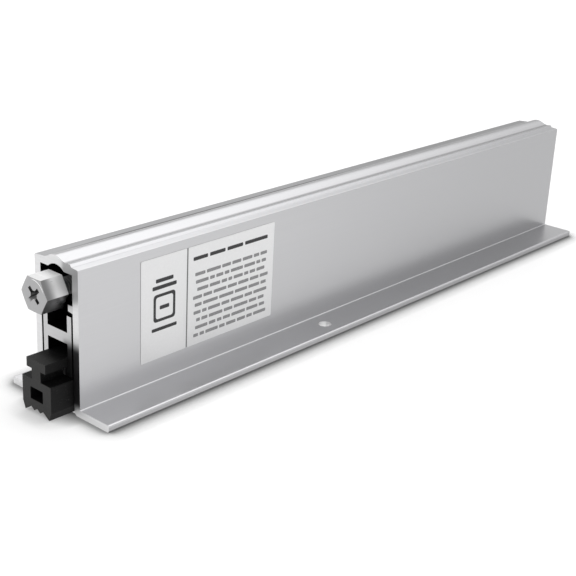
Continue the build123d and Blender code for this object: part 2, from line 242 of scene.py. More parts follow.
class AluminiumSettings(bpy.types.PropertyGroup):
    wall_colour: colour("Anodised colour", "Colour of the housing's outside", (0.555, 0.555, 0.566))
    # The far colour is painted shade: the outside darkens towards the far end.
    far_painted_shade_colour: colour("Far colour", "Colour of the outside at the far end", (0.405, 0.405, 0.414))
    cut_colour: colour("Cut colour", "Colour of the sawn ends", (0.72, 0.72, 0.725))
    # The stain colour is painted shade high on the front of the near cut end.
    upper_end_shade_colour: colour("Stain colour", "Colour of the stained part of the cut", (0.50, 0.50, 0.504))
    # The rubbed colour is painted shade on the cut ends, beside the rubber and inside the housing's
    # width.
    cut_shade_colour: colour("Rubbed colour", "Colour of the cut beside the rubber", (0.05, 0.05, 0.051))
    # The inside colour is painted shade: inside the housing, in the creases on top and at the flange's
    # tip.
    painted_shade_colour: colour("Inside colour", "Colour of the oiled inside", (0.012, 0.012, 0.012))
    drilled_colour: colour("Drilled colour", "Colour of the drilled holes", (0.92, 0.92, 0.92))
    roughness: share("Roughness", "Roughness of the anodised outside", 0.3)
    die_line: length("Die line", "Spacing of the die lines across the extrusion", 0.0006)
    saw_mark: length("Saw mark", "Spacing of the saw's marks on the cut ends", 0.0005)


class RubberSettings(bpy.types.PropertyGroup):
    body_colour: colour("Rubber colour", "Colour of the seal's skin", (0.0045, 0.0045, 0.0046))
    cut_colour: colour("Cut rubber colour", "Colour of the seal's cut ends", (0.034, 0.034, 0.0333))
    dust_colour: colour("Dust colour", "Colour of the talc left in the rubber's skin", (0.11, 0.11, 0.11))
    roughness: share("Roughness", "Roughness of the rubber's skin", 0.55)
    speckle: length("Speckle", "Size of the specks of talc", 0.00035)


class LabelSettings(bpy.types.PropertyGroup):
    foil_colour: colour("Foil colour", "Colour of the label's face", (0.80, 0.80, 0.805))
    ink_colour: colour("Ink colour", "Colour of the ink", (0.02, 0.02, 0.021))
    fine_ink_colour: colour("Fine ink colour", "Colour of the small bars", (0.25, 0.25, 0.254))
    # The gap colour is painted shade in the gap between the panels.
    gap_colour: colour("Gap colour", "Colour of the backing between the panels", (0.16, 0.16, 0.165))
    divider_from_left: length("Divider", "Distance of the gap from the left edge", 0.01405)
    divider_width: length("Divider width", "Width of the gap between the panels", 0.0004)
    corner_radius: length("Corner radius", "Radius of the foil's corners", 0.0003)
    line_count: IntProperty(
        name="Lines", description="Lines of printed bars on the right panel", default=9, min=1
    )
    line_pitch: length("Line pitch", "Distance between two lines of bars", 0.00189)
    line_height: length("Line height", "Height of a bar", 0.0008)
    line_margin: length("Line margin", "Bare margin beside the bars", 0.0018)
    heading: length("Heading", "Distance of the heading bars below the top edge", 0.0031)
    first_line: length("First line", "Distance of the first line below the top edge", 0.0070)
    frame_from_top: length("Frame from top", "Distance of the frame's middle from the top", 0.0121)
    frame_size: length("Frame size", "Side of the plain frame on the left panel", 0.0066)
    frame_line: length("Frame line", "Width of the frame's line", 0.0007)


class PlungerSettings(bpy.types.PropertyGroup):
    steel_colour: colour("Steel colour", "Colour of the plunger's head", (0.44, 0.44, 0.445))
    # The plunger's plated colour is painted light on the upper flats.
    plating_and_painted_light_colour: colour("Plated colour", "Colour of the dull plating on the flats", (0.80, 0.80, 0.80))
    # The oiled colour is painted shade on the front and lower flats.
    flats_shade_colour: colour("Oiled colour", "Colour of the oiled parts of the flats", (0.09, 0.09, 0.09))
    # The recess colour is painted shade in the recess and on the thread.
    recess_colour: colour("Recess colour", "Colour of the recess and the thread", (0.22, 0.22, 0.22))
    roughness: share("Roughness", "Roughness of the turned steel", 0.28)
    across_flats: length("Across flats", "Width of the hexagonal head", 0.00754)
    head_length: length("Head length", "Length of the hexagonal head", 0.0057)
    corner_cut: length("Corner cut", "Depth of the round chamfer at the corners", 0.00015)
    face_inset: length("Face inset", "Distance of the face's rim inside the flats", 0.0003)
    axis_height: length("Axis height", "Height of the plunger's axis", 0.02785)
    shank_radius: length("Shank radius", "Outside radius of the thread", 0.002)
    thread_depth: length("Thread depth", "Depth of the thread", 0.0004)
    thread_pitch: length("Thread pitch", "Pitch of the thread", 0.0007)
    recess_span: length("Recess span", "Span of the cross recess", 0.0043)
    recess_arm: length("Recess arm", "Width of an arm of the cross", 0.00095)
    recess_depth: length("Recess depth", "Depth of the cross recess", 0.0023)


class HardwareSettings(bpy.types.PropertyGroup):
    # For the hardware this colour is the plating's own.
    plating_and_painted_light_colour: colour("Plated colour", "Colour of the bar, brackets and screws", (0.52, 0.53, 0.55))
    plated_roughness: share("Plated roughness", "Roughness of the plated pieces", 0.36)
    pin_colour: colour("Pin colour", "Colour of the lift pins and the stop pin", (0.6, 0.6, 0.61))
    pin_roughness: share("Pin roughness", "Roughness of the pins", 0.25)
    ring_colour: colour("Ring colour", "Colour of the retaining rings", (0.3, 0.3, 0.32))
    ring_roughness: share("Ring roughness", "Roughness of the retaining rings", 0.3)
    nylon_colour: colour("Nylon colour", "Colour of the guides and the adjuster", (0.018, 0.018, 0.02))
    nylon_roughness: share("Nylon roughness", "Roughness of the nylon pieces", 0.5)


class SpringSettings(bpy.types.PropertyGroup):
    wire_colour: colour("Wire colour", "Colour of the spring's wire", (0.42, 0.42, 0.44))
    roughness: share("Roughness", "Roughness of the spring's wire", 0.3)
    wire_radius: length("Wire radius", "Radius of the spring's wire", 0.0004)
    mean_radius: length("Mean radius", "Radius of the coil's middle line", 0.0025)
    turns: IntProperty(name="Turns", description="Turns of the coil", default=9, min=3)


class StudioSettings(bpy.types.PropertyGroup):
    floor_colour: colour("Floor colour", "Colour of the floor", (0.62, 0.62, 0.62))
    glow: share("Glow", "Brightness of the floor's own light", 0.4)
    # The contact colour is a painted contact shadow on the floor.
    contact_colour: colour("Contact colour", "Colour of the floor at a contact", (0.24, 0.24, 0.24))
    raised_loss: share("Raised loss", "Contact dark lost beyond the near end", 0.75)
    contact_reach: length("Contact reach", "Distance over which a contact darkens the floor", 0.005)
    contact_power: FloatProperty(
        name="Contact power", description="How fast a contact's dark fades", default=7.0, min=0
    )
    floor_size: length("Floor size", "Side of the square floor", 12.0)
    room_level: share("Room level", "Brightness of the room all round", 0.95, 4)
    low_level: share("Low level", "Brightness low on the far side", 0.54, 4)
    screen_level: share("Screen level", "Brightness of the light screen over the far side", 1.85, 4)
    far_gain: share("Far gain", "Share that the low light gains at its far end", 0.35)
    far_loss: share("Far loss", "Share of the screen's light lost at its far end", 0.3)
    key_power: FloatProperty(
        name="Key power", description="Power of the soft key lamp", default=0.6, min=0, unit="POWER"
    )


class DoorSealSettings(bpy.types.PropertyGroup):
    aluminium: PointerProperty(type=AluminiumSettings, name="Aluminium")
    rubber: PointerProperty(type=RubberSettings, name="Rubber")
    label: PointerProperty(type=LabelSettings, name="Label")
    plunger: PointerProperty(type=PlungerSettings, name="Plunger")
    hardware: PointerProperty(type=HardwareSettings, name="Hardware")
    spring: PointerProperty(type=SpringSettings, name="Spring")
    studio: PointerProperty(type=StudioSettings, name="Studio")


# Shader maths


class Signal:
    """An output socket of a node tree; Python's operators on it add Math nodes."""

    def __init__(self, graph, socket):
        self.graph = graph
        self.socket = socket

    def math(self, operation, *others):
        values = dict(enumerate((self, *others)))
        return self.graph.node("ShaderNodeMath", {"operation": operation}, values)

    def __add__(self, other):
        return self.math("ADD", other)

    __radd__ = __add__

    def __sub__(self, other):
        return self.math("SUBTRACT", other)

    def __rsub__(self, other):
        return self * -1 + other

    def __mul__(self, other):
        return self.math("MULTIPLY", other)

    __rmul__ = __mul__

    def __truediv__(self, other):
        return self.math("DIVIDE", other)

    def __gt__(self, other):
        return self.math("GREATER_THAN", other)

    def __lt__(self, other):
        return self.math("LESS_THAN", other)

    def __abs__(self):
        return self.math("ABSOLUTE")

    def ramp(self, low, high):
        """0 at low, 1 at high, held outside them."""
        settings = {"interpolation_type": "SMOOTHSTEP"}
        return self.graph.node("ShaderNodeMapRange", settings, {0: self, 1: low, 2: high})

    def band(self, low, high):
        """1 at low, 0 at high, held outside them."""
        return 1 - self.ramp(low, high)


class Graph:
    """The node tree of a material or of the world."""

    def __init__(self, owner):
        owner.use_nodes = True
        self.tree = owner.node_tree
        self.tree.nodes.clear()

    def node(self, kind, settings=None, inputs=None, output=0):
        """Adds a node: its settings first, then the values or links of its sockets."""
        made = self.tree.nodes.new(kind)
        for name, value in (settings or {}).items():
            setattr(made, name, value)
        for name, value in (inputs or {}).items():
            if isinstance(value, Signal):
                self.tree.links.new(value.socket, made.inputs[name])
            else:
                made.inputs[name].default_value = value
        return Signal(self, made.outputs[output]) if made.outputs else None

    def place(self):
        """X, Y and Z of the point in the part's frame, in metres."""
        point = self.node("ShaderNodeTexCoord", output="Object")
        return self.split(point)

    def facing(self):
        """X, Y and Z of the surface's normal in the part's frame."""
        normal = self.node("ShaderNodeTexCoord", output="Normal")
        return self.split(normal)

    def split(self, vector):
        return [self.node("ShaderNodeSeparateXYZ", inputs={0: vector}, output=i) for i in range(3)]

    def join(self, x, y, z):
        return self.node("ShaderNodeCombineXYZ", inputs={0: x, 1: y, 2: z})

    def noise(self, vector):
        inputs = {"Vector": vector, "Scale": 1.0, "Detail": 3.0}
        return self.node("ShaderNodeTexNoise", inputs=inputs)

    def grain(self, along, across, up, place):
        """Noise whose grains have these sizes, in metres, along X, Y and Z."""
        x, y, z = place
        return self.noise(self.join(x * (1 / along), y * (1 / across), z * (1 / up)))

    def blend(self, factor, first, second):
        """A colour between two colours."""
        settings = {"data_type": "RGBA", "clamp_factor": True}
        return self.node("ShaderNodeMix", settings, {0: factor, 6: first, 7: second}, output=2)

    def vary(self, factor, rgb, first, second):
        """A colour between two shades of itself."""
        return self.blend(factor, shade(rgb, first), shade(rgb, second))

    def bump(self, height, distance):
        return self.node("ShaderNodeBump", inputs={"Height": height, "Distance": distance})

    def surface(self, inputs):
        """Ends a material in one Principled shader."""
        shader = self.node("ShaderNodeBsdfPrincipled", inputs=inputs)
        self.node("ShaderNodeOutputMaterial", inputs={"Surface": shader})


def opaque(rgb):
    return (*rgb, 1.0)


def new_finish(name):
    material = bpy.data.materials.new(name)
    return material, Graph(material)


def shade(rgb, factor):
    """The same colour, lighter or darker."""
    return opaque([min(1.0, c * factor) for c in rgb])


# Finishes


def anodised_finish(settings):
    """Satin anodised outside with die lines and sawn ends; painted shade inside, in the creases on top,
    at the flange's tip, towards the far end and on parts of the cut ends.
    """
    material, g = new_finish("anodised_aluminium")
    place = g.place()
    x, y, z = place
    normal_x, _, normal_z = g.facing()
    cut = abs(normal_x).ramp(*END_FACE)
    inside = (abs(y) < INSIDE_HALF_WIDTH) * (z < INSIDE_TOP) * (1 - cut)
    line = settings.die_line
    lines = g.grain(0.08, line, line, place)
    broad = g.grain(0.25, line * 9, line * 9, place)
    cloud = g.grain(0.03, 0.006, 0.006, place)
    saw = g.grain(0.01, 0.006, settings.saw_mark, place)
    wall = g.vary(lines, settings.wall_colour, 0.955, 1.045)
    wall = g.blend(broad * 0.6, wall, shade(settings.wall_colour, 0.97))
    # Painted shade: the outside is darkened towards the far end.
    wall = g.blend(x.ramp(CAD_LOW.x, CAD_HIGH.x), wall, opaque(settings.far_painted_shade_colour))
    ends = g.vary(saw, settings.cut_colour, 0.92, 1.06)
    front = y.band(*CUT_FRONT) * (x < 0)
    # Painted shade low on the front of the near cut end, beside the rubber.
    lower_end_shade = front * z.ramp(*LOWER_END_SHADE_FOOT) * z.band(*LOWER_END_SHADE_TOP) * (y > LOWER_END_SHADE_FRONT)
    # Painted shade high on the front of the near cut end, graded with height.
    upper_end_shade = g.vary(z.ramp(*UPPER_END_SHADE_FADE), settings.upper_end_shade_colour, 1.2, 0.8)
    # Painted shade: the cut ends inside the housing's width, below the shoulder, take a quarter of the
    # dark colour.
    inner_cut = (abs(y) < INNER_CUT_HALF_WIDTH) * z.band(*INNER_CUT_TOP)
    ends = g.blend(inner_cut * 0.24, ends, opaque(settings.cut_shade_colour))
    ends = g.blend(front * z.ramp(*UPPER_END_SHADE_FOOT), ends, upper_end_shade)
    ends = g.blend(lower_end_shade, ends, opaque(settings.cut_shade_colour))
    # Painted shade: dark lines in the groove and at the strip's foot, the back shoulder and the back of
    # the strip darker away from the near end, and the flange's foot and edge face in shade.
    groove = abs(y - GROOVE_MIDDLE).band(*GROOVE_EDGE) * 0.4
    foot_reach = x.ramp(*STRIP_FOOT_START) * x.band(*STRIP_FOOT_END)
    strip_foot = abs(y - STRIP_FOOT_MIDDLE).band(*STRIP_FOOT_EDGE) * foot_reach * 0.75
    back_shoulder = y.ramp(*BACK_SHOULDER_EDGE) * x.ramp(*BACK_SHOULDER_START) * 0.1
    strip_back = y.ramp(*STRIP_BACK_EDGE) * x.ramp(*STRIP_BACK_START) * 0.28
    tip_foot = (abs(y) > TIP_FOOT_REACH) * z.band(*TIP_FOOT_TOP) * 0.65
    tip_face = (abs(y) > TIP_FACE_REACH) * z.band(*TIP_FACE_TOP) * 0.25
    top_painted_shade = (z > SHOULDER_HEIGHT) * (groove + strip_foot + back_shoulder + strip_back)
    wall = g.blend(top_painted_shade + tip_foot + tip_face, wall, opaque(settings.painted_shade_colour))
    for mount in frame["record"]["mounts"]:
        if mount["kind"] == "bore":
            along, aside = x - mount["pos_m"][0], y - mount["pos_m"][1]
            radius = (along * along + aside * aside).math("SQRT")
            drilled = (radius < DRILLED_RADIUS) * (normal_z < 0.5)
            wall = g.blend(drilled, wall, opaque(settings.drilled_colour))
    base = g.blend(cut, wall, ends)
    # Painted shade inside the housing, with faint clouds.
    base = g.blend(inside, base, g.vary(cloud, settings.painted_shade_colour, 0.7, 1.5))
    rough = settings.roughness - 0.035 + lines * 0.04 + cloud * 0.04 + cut * 0.14 + inside * 0.2
    height = g.bump(lines * (1 - cut) + saw * cut * 1.5, 0.000004)
    g.surface({"Base Color": base, "Metallic": 1.0, "Roughness": rough, "Normal": height})
    return material


def rubber_finish(settings):
    """Black extruded rubber with drag lines and specks of talc in its skin."""
    material, g = new_finish("seal_rubber")
    place = g.place()
    x, y, z = place
    size = settings.speckle
    specks = g.grain(size, size, size, place).ramp(0.6, 0.75)
    drag = g.grain(0.02, 0.0004, 0.0004, place)
    patches = g.grain(0.006, 0.003, 0.003, place)
    normal_x, _, normal_z = g.facing()
    cut = abs(normal_x).ramp(*END_FACE)
    facing_up = normal_z.ramp(*TOP_FACE)
    skin = g.vary(drag, settings.body_colour, 0.75, 1.3)
    # Painted light: up-facing skin is lighter, as lit from above.
    skin = g.blend(facing_up, skin, shade(settings.cut_colour, 0.65))
    # Painted shade in the hollow, at the neck and on up-facing skin inside the housing.
    hollow = (abs(y) < HOLLOW_HALF_WIDTH) * (abs(z - HOLLOW_MIDDLE) < HOLLOW_HALF_HEIGHT)
    neck = abs(z - NECK_MIDDLE) < NECK_HALF_HEIGHT
    covered = facing_up * x.ramp(*COVERED_START)
    skin = g.blend(hollow + neck + covered, skin, shade(settings.body_colour, 0.15))
    base = g.blend(cut, skin, opaque(settings.cut_colour))
    base = g.blend(specks * patches * 0.5, base, opaque(settings.dust_colour))
    rough = settings.roughness + 0.1 * patches + 0.1 * specks
    height = g.bump(drag + 0.6 * specks, 0.00003)
    g.surface(
        {"Base Color": base, "Roughness": rough, "Specular IOR Level": 0.18, "Normal": height}
    )
    return material


def foil_finish(settings):
    """Matt aluminium-coloured label film with a faint brushed grain."""
    material, g = new_finish("label_foil")
    place = g.place()
    grain = g.grain(0.0006, 0.0006, 0.0006, place)
    cloud = g.grain(0.01, 0.01, 0.01, place)
    base = g.vary(grain, settings.foil_colour, 0.96, 1.04)
    rough = 0.42 + 0.08 * grain + 0.06 * cloud
    height = g.bump(grain + cloud, 0.000008)
    g.surface({"Base Color": base, "Metallic": 0.15, "Roughness": rough, "Normal": height})
    return material


def ink_and_gap_shade_finish(name, rgb):
    """Printed ink, a little uneven where the film shows through; also the painted shade of the backing in
    the gap between the label's panels.
    """
    material, g = new_finish(name)
    grain = g.grain(0.00018, 0.00018, 0.00018, g.place())
    base = g.vary(grain.ramp(0.45, 0.8), rgb, 0.9, 1.5)
    g.surface({"Base Color": base, "Roughness": 0.5 + 0.1 * grain})
    return material


def turned_steel_finish(settings):
    """Plated turned steel: rings on the face, fine marks along the flats; painted shade in the recess, on
    the thread and on the front and lower flats, painted light on the upper flats, and a painted highlight
    on the face's rim.
    """
    material, g = new_finish("plunger_steel")
    place = g.place()
    x, y, z = place
    normal_x, normal_y, normal_z = g.facing()
    across = z - settings.axis_height
    radius = (y * y + across * across).math("SQRT")
    face_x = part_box("plunger")[0].x
    depth = x - face_x
    facing_front = abs(normal_x).ramp(*HEAD_FACE)
    # Painted shade in the recess and on the thread.
    shaded = depth.ramp(*SHADED_DEPTH) * (radius < settings.recess_span * SHADED_SHARE)
    rings = g.noise(g.join(radius * (1 / RING_SPACING), 0.0, 0.0))
    marks = g.grain(0.004, 0.00018, 0.00018, place)
    texture = rings * facing_front + marks * (1 - facing_front)
    base = g.vary(texture, settings.steel_colour, 0.92, 1.06)
    face = g.vary(texture, settings.steel_colour, 0.84, 0.92)
    base = g.blend(facing_front, base, face)
    # Painted highlight: a white arc on the face's rim, on its lit side.
    rim = radius.ramp(*RIM_INNER) * radius.band(*RIM_OUTER) * facing_front
    rim = rim * ((across * RIM_UP - y * RIM_FRONT) / radius).ramp(*RIM_LIT)
    base = g.blend(rim, base, (1.0, 1.0, 1.0, 1.0))
    # Painted light: the upper flats turn pale and matt towards the rear and on the top flat.
    upper = normal_z.ramp(*UPPER_FLATS) * (1 - facing_front)
    reached = depth.ramp(*PAINTED_LIGHT_START) * 0.75 + normal_z.ramp(*TOP_FLAT) * 0.8
    painted_light_flats = upper * reached.math("MINIMUM", 1.0) * depth.band(*PAINTED_LIGHT_END)
    base = g.blend(painted_light_flats, base, opaque(settings.plating_and_painted_light_colour))
    # Painted shade on the front flats near the face, and on the lower flats.
    front_flats = normal_y.band(*FRONT_FLATS) * depth.band(*FRONT_SHADE_END)
    base = g.blend(front_flats * 0.75, base, opaque(settings.flats_shade_colour))
    under = normal_z.band(*LOWER_FLATS) * (1 - facing_front)
    base = g.blend(under * 0.5, base, opaque(settings.flats_shade_colour))
    base = g.blend(shaded, base, opaque(settings.recess_colour))
    rough = settings.roughness - 0.03 + texture * 0.08 + shaded * 0.2
    height = g.bump(texture, 0.000006)
    g.surface({"Base Color": base, "Metallic": 1 - painted_light_flats, "Roughness": rough, "Normal": height})
    return material


def plated_finish(name, rgb, roughness, grain_size, metallic=1.0):
    """Plated or moulded hardware with a fine grain and faint clouds."""
    material, g = new_finish(name)
    place = g.place()
    grain = g.grain(grain_size * 6, grain_size, grain_size, place)
    cloud = g.grain(0.004, 0.004, 0.004, place)
    base = g.vary(grain * 0.6 + cloud * 0.4, rgb, 0.85, 1.15)
    rough = roughness + 0.08 * cloud - 0.05 * grain
    height = g.bump(grain, 0.000006)
    g.surface({"Base Color": base, "Metallic": metallic, "Roughness": rough, "Normal": height})
    return material


def dress(material, *nodes):
    """Gives CAD nodes a finish of their own."""
    for name in nodes:
        slots = frame["nodes"][name].data.materials
        slots.clear()
        slots.append(material)


# Meshes


def new_piece(name, bm, material, sharp_angle=30.0):
    """A named object made from a bmesh, smooth but for edges sharper than an angle."""
    mesh = bpy.data.meshes.new(name)
    bmesh.ops.recalc_face_normals(bm, faces=bm.faces)
    bm.to_mesh(mesh)
    bm.free()
    mesh.materials.append(material)
    mesh.shade_smooth()
    mesh.set_sharp_from_angle(angle=math.radians(sharp_angle))
    piece = bpy.data.objects.new(name, mesh)
    bpy.context.scene.collection.objects.link(piece)
    return piece


def ring_strip(bm, rows):
    """Quads between neighbouring rings of vertices."""
    for lower, upper in zip(rows, rows[1:]):
        count = len(lower)
        for i in range(count):
            j = (i + 1) % count
            bm.faces.new((lower[i], lower[j], upper[j], upper[i]))


def closed_tube(bm, rows):
    """Quads between neighbouring rings, and a face on each end."""
    ring_strip(bm, rows)
    bm.faces.new(rows[0])
    bm.faces.new(list(reversed(rows[-1])))


def on_axis(x, height):
    """A point in the middle plane of the part."""
    return Vector((x, 0, height))


def spoke(angle):
    """Unit vector across X, at an angle from Y towards Z."""
    return Vector((0, math.cos(angle), math.sin(angle)))


def rounded_rectangle(left, bottom, right, top, radius, steps=5):
    """Corner points of a rectangle with rounded corners."""
    centres = [
        (right - radius, top - radius, 0),
        (left + radius, top - radius, 90),
        (left + radius, bottom + radius, 180),
        (right - radius, bottom + radius, 270),
    ]
    points = []
    for u, v, start in centres:
        for i in range(steps + 1):
            a = math.radians(start + 90 * i / steps)
            points.append((u + radius * math.cos(a), v + radius * math.sin(a)))
    return points


def add_plate(bm, outline, back_y, front_y, rim):
    """A thin plate in the plane of the front wall, with a rounded rim."""
    middle_u = sum(p[0] for p in outline) / len(outline)
    middle_v = sum(p[1] for p in outline) / len(outline)
    width = max(p[0] for p in outline) - min(p[0] for p in outline)
    height = max(p[1] for p in outline) - min(p[1] for p in outline)

    def row(y, inset):
        su, sv = 1 - 2 * inset / width, 1 - 2 * inset / height
        return [
            bm.verts.new((middle_u + (u - middle_u) * su, y, middle_v + (v - middle_v) * sv))
            for u, v in outline
        ]

    rim_y = front_y + (back_y - front_y) * RIM_SHARE
    rows = [row(back_y, 0.0), row(rim_y, 0.0), row(front_y, rim)]
    closed_tube(bm, rows[::-1])


def add_frame(bm, outer, inner, back_y, front_y):
    """A thin closed frame in the plane of the front wall, between two outlines."""
    outlines = ((outer, back_y), (outer, front_y), (inner, front_y), (inner, back_y))
    rows = [[bm.verts.new((u, y, v)) for u, v in outline] for outline, y in outlines]
    ring_strip(bm, rows + rows[:1])


def word_bars(rng, left, right, shortest, longest, space):
    """Left and right ends of the bars that stand for the words of one line."""
    bars = []
    u = left
    while u + shortest < right:
        end = min(right, u + rng.uniform(shortest, longest))
        if right - end < shortest + space:
            end = right
        bars.append((u, end))
        u = end + space
    return bars


def label_panels(settings):
    """The label's two foil panels and the backing that shows between them."""
    low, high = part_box("label")
    divider = low.x + settings.divider_from_left
    half = settings.divider_width / 2
    step_y = high.y - (high.y - low.y) * BACKING_SHARE
    backing = bmesh.new()
    left, bottom = low.x + BACKING_INSET, low.z + BACKING_INSET
    right, top = high.x - BACKING_INSET, high.z - BACKING_INSET
    outline = rounded_rectangle(left, bottom, right, top, settings.corner_radius)
    add_plate(backing, outline, high.y, step_y, 0.0)
    foil = bmesh.new()
    for left, right in ((low.x, divider - half), (divider + half, high.x)):
        outline = rounded_rectangle(left, low.z, right, high.z, settings.corner_radius)
        add_plate(foil, outline, step_y, low.y, FOIL_RIM)
    return foil, backing


def print_bar(bm, left, right, middle, height):
    """One printed bar that stands a little above the foil."""
    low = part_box("label")[0]
    outline = rounded_rectangle(
        left, middle - height / 2, right, middle + height / 2, height * 0.2, 2
    )
    add_plate(bm, outline, low.y + INK_SINK, low.y - INK_RISE, 0.0)


def label_lines(settings):
    """Plain bars in the places of the printed lines of the right panel."""
    low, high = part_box("label")
    rng = random.Random(LINE_SEED)
    bm = bmesh.new()
    left = low.x + settings.divider_from_left + settings.line_margin
    right = high.x - settings.line_margin
    first = high.z - settings.first_line
    for i in range(settings.line_count):
        inset = rng.uniform(0.0, LINE_RAGGED)
        middle = first - i * settings.line_pitch
        for start, end in word_bars(rng, left + inset, right - inset, *LINE_BARS):
            print_bar(bm, start, end, middle, settings.line_height)
    return bm


def label_marks(settings):
    """Heading bars of the right panel, and a plain frame with bars on the left one."""
    low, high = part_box("label")
    rng = random.Random(HEADING_SEED)
    bm = bmesh.new()
    left = low.x + settings.divider_from_left + settings.line_margin
    right = high.x - settings.line_margin
    heading_height = settings.line_height * HEADING_TO_LINE
    for start, end in word_bars(rng, left, right - HEADING_SHORTER, *HEADING_BARS):
        print_bar(bm, start, end, high.z - settings.heading, heading_height)
    middle_u = low.x + settings.divider_from_left / 2
    middle_v = high.z - settings.frame_from_top
    half = settings.frame_size / 2
    inner = half - settings.frame_line
    outlines = [
        rounded_rectangle(middle_u - r, middle_v - r, middle_u + r, middle_v + r, r * 0.25)
        for r in (half, inner)
    ]
    add_frame(bm, *outlines, low.y + INK_SINK, low.y - INK_RISE)
    # Height above the frame's middle, half length and thickness of each bar
    bars = (
        (0.0, inner * 0.55, 0.0009),
        (half + 0.0016, half * 1.1, 0.0009),
        (half + 0.0032, half * 0.8, 0.0009),
        (-half - 0.0018, half * 1.15, 0.0008),
    )
    for up, reach, height in bars:
        print_bar(bm, middle_u - reach, middle_u + reach, middle_v + up, height)
    return bm


def hexagon_radius(angle, across_flats):
    """Distance from the axis to the hexagon, whose corners point along Y."""
    sector = math.radians(60)
    return across_flats / 2 / math.cos(angle % sector - sector / 2)


def head_mesh(settings, face_x):
    """Hexagonal head with a round chamfer on its face."""
    flat = settings.across_flats
    corner = flat / math.sqrt(3)
    face_radius = flat / 2 - settings.face_inset
    slope = (corner - face_radius) / settings.corner_cut
    bm = bmesh.new()
    rows = [[], [], []]
    for i in range(HEAD_COLUMNS):
        angle = 2 * math.pi * i / HEAD_COLUMNS
        reach = hexagon_radius(angle, flat)
        depth = (reach - face_radius) / slope
        stations = ((0.0, face_radius), (depth, reach), (settings.head_length, reach))
        for row, (along, radius) in zip(rows, stations):
            centre = on_axis(face_x + along, settings.axis_height)
            row.append(bm.verts.new(centre + spoke(angle) * radius))
    closed_tube(bm, rows)
    return bm


def recess_mesh(settings, face_x):
    """Cutter for the cross recess: four tapering wings round a cone."""
    bm = bmesh.new()
    depth = settings.recess_depth
    mouth_spread = 1.0 + RECESS_LIFT / depth * RECESS_MOUTH_SLOPE
    wings = [(-RECESS_LIFT, mouth_spread)]
    wings += [(depth * share_down, spread) for share_down, spread in RECESS_WINGS]
    for turn in (math.radians(45), math.radians(135)):
        along, aside = spoke(turn), spoke(turn + math.pi / 2)
        rows = []
        for x, spread in wings:
            half = settings.recess_span / 2 * spread
            taper = RECESS_ARM_LEAST + (1 - RECESS_ARM_LEAST) * spread
            width = settings.recess_arm / 2 * taper
            centre = on_axis(face_x + x, settings.axis_height)
            corners = [(half, width), (-half, width), (-half, -width), (half, -width)]
            rows.append([bm.verts.new(centre + along * a + aside * b) for a, b in corners])
        closed_tube(bm, rows)
    cone = [(-RECESS_LIFT, RECESS_CONE_MOUTH)]
    cone += [(depth * share_down, radius) for share_down, radius in RECESS_CONE]
    angles = [2 * math.pi * (i + 0.5) / RECESS_CONE_COLUMNS for i in range(RECESS_CONE_COLUMNS)]
    rows = []
    for x, radius in cone:
        centre = on_axis(face_x + x, settings.axis_height)
        rows.append([bm.verts.new(centre + spoke(angle) * radius) for angle in angles])
    closed_tube(bm, rows)
    return bm


def threaded_shank(settings, start_x, end_x):
    """Shank with a rolled thread that fades out at the head, and a chamfered tip."""
    bm = bmesh.new()
    core = settings.shank_radius - settings.thread_depth
    steps = int((end_x - start_x) / settings.thread_pitch * THREAD_ROWS_A_TURN)
    rows = []
    for k in range(steps + 1):
        x = start_x + (end_x - start_x) * k / steps
        thread = min(1.0, max(0.0, (x - start_x - THREAD_START) / THREAD_RUN_OUT))
        taper = TIP_SHARE + (1 - TIP_SHARE) * min(1.0, (end_x - x) / TIP_LENGTH)
        row = []
        for i in range(SHANK_COLUMNS):
            turn = i / SHANK_COLUMNS
            phase = (x / settings.thread_pitch - turn) % 1.0
            ridge = min(1.0, max(0.0, THREAD_CREST - THREAD_FLANK * abs(phase - 0.5)))
            height = settings.thread_depth * (ridge * thread + THREAD_BLANK * (1 - thread))
            radius = (core + height) * taper
            centre = on_axis(x, settings.axis_height)
            row.append(bm.verts.new(centre + spoke(2 * math.pi * turn) * radius))
        rows.append(row)
    closed_tube(bm, rows)
    return bm


def cut_away(piece, cutter):
    """Cuts one piece by another and keeps the result as the piece's own mesh."""
    modifier = piece.modifiers.new("recess", "BOOLEAN")
    modifier.operation = "DIFFERENCE"
    modifier.solver = "EXACT"
    modifier.use_self = True
    modifier.object = cutter
    depsgraph = bpy.context.evaluated_depsgraph_get()
    cut = bpy.data.meshes.new_from_object(piece.evaluated_get(depsgraph))
    piece.modifiers.clear()
    piece.data = cut
    bpy.data.objects.remove(cutter)


def coil_mesh(settings, start, end, axis_height):
    """Coil spring with closed end turns between two faces across X."""
    bm = bmesh.new()
    wire, mean, turns = settings.wire_radius, settings.mean_radius, settings.turns
    inner = end - start - 2 * wire
    dead = 2 * wire * COIL_CLOSED
    open_pitch = (inner - 2 * dead) / (turns - 2)

    def advance(turn):
        if turn < 1:
            return dead * turn
        if turn > turns - 1:
            return inner - dead * (turns - turn)
        return dead + open_pitch * (turn - 1)

    rows = []
    for k in range(turns * COIL_STEPS_A_TURN + 1):
        turn = k / COIL_STEPS_A_TURN
        outward = spoke(2 * math.pi * turn)
        centre = on_axis(start + wire + advance(turn), axis_height) + outward * mean
        row = []
        for i in range(COIL_COLUMNS):
            a = 2 * math.pi * i / COIL_COLUMNS
            along = Vector((wire * math.sin(a), 0, 0))
            row.append(bm.verts.new(centre + outward * wire * math.cos(a) + along))
        rows.append(row)
    closed_tube(bm, rows)
    return bm


# Operators


class DOORSEAL_OT_extrusions(bpy.types.Operator):
    """Finish the housing and the drop bar as anodised aluminium extrusions"""

    bl_idname = "door_seal.extrusions"
    bl_label = "Aluminium extrusions"

    def execute(self, context):
        dress(anodised_finish(context.scene.door_seal.aluminium), "housing", "drop_bar")
        return {"FINISHED"}


